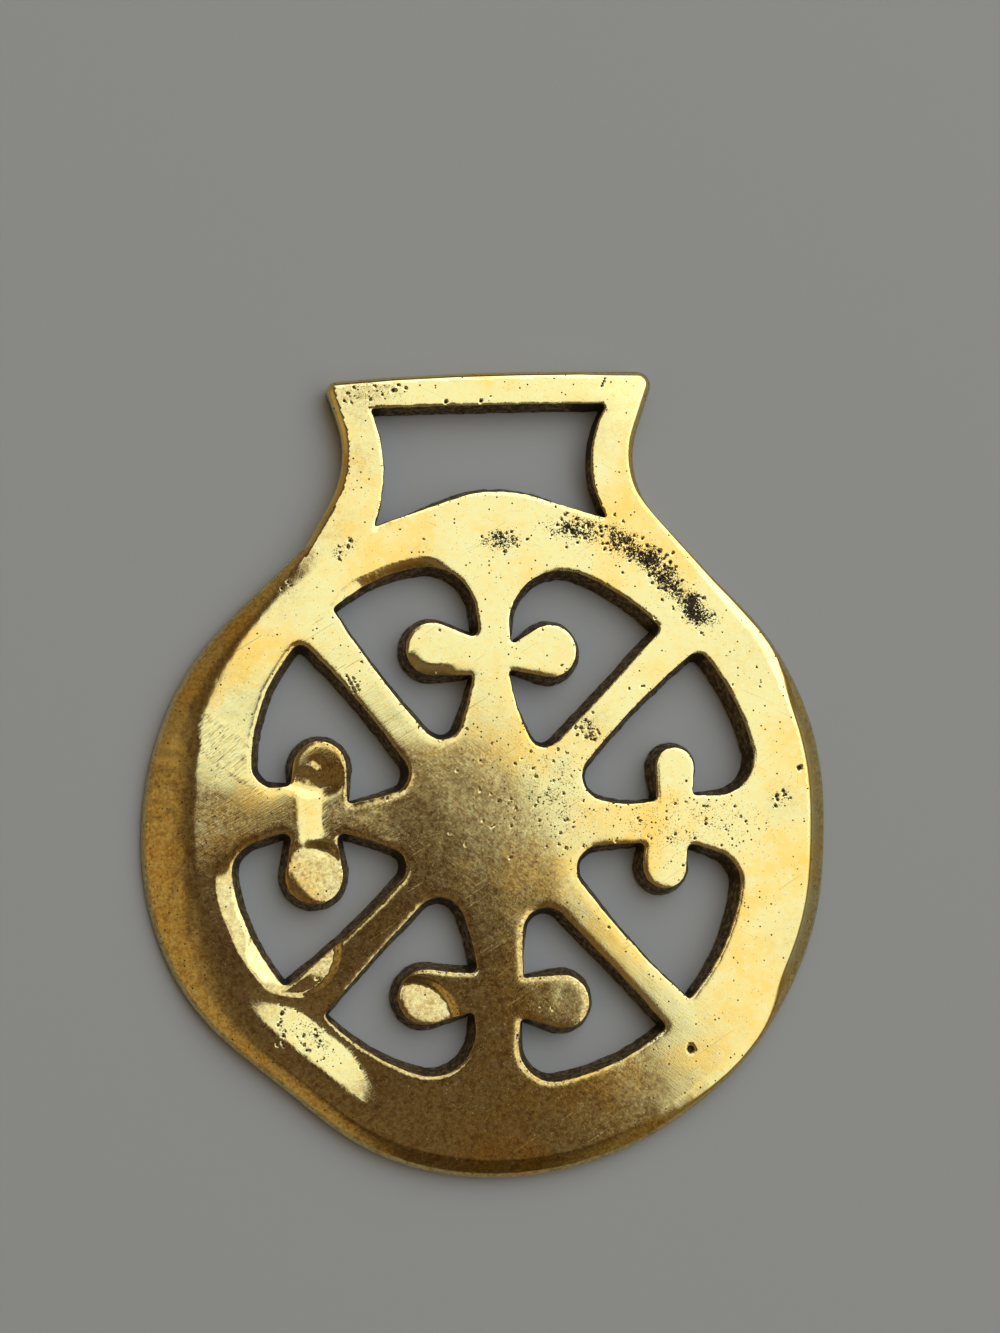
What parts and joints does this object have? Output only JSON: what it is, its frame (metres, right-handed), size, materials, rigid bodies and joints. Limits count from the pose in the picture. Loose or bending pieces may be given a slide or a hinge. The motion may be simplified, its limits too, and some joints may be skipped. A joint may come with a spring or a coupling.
{
  "type": "horse brass",
  "caption": "Cast horse brass: a pierced round disc with arms, lobes and diagonal spokes inside a plain ring, and a slotted hanger for a leather strap.",
  "frame": {"origin": "middle of the disc, on the flat back", "axes": "+Y from the disc toward the strap hanger, +Z out of the face, +X to the right when the face is seen with the hanger up; it lies on its back"},
  "size_m": [0.0801, 0.0944, 0.0032],
  "materials": {
    "brass": "polished and worn, with dark tarnish in the openings and pits"
  },
  "bodies": {
    "root": {"horse_brass": "brass"}
  },
  "joints": []
}
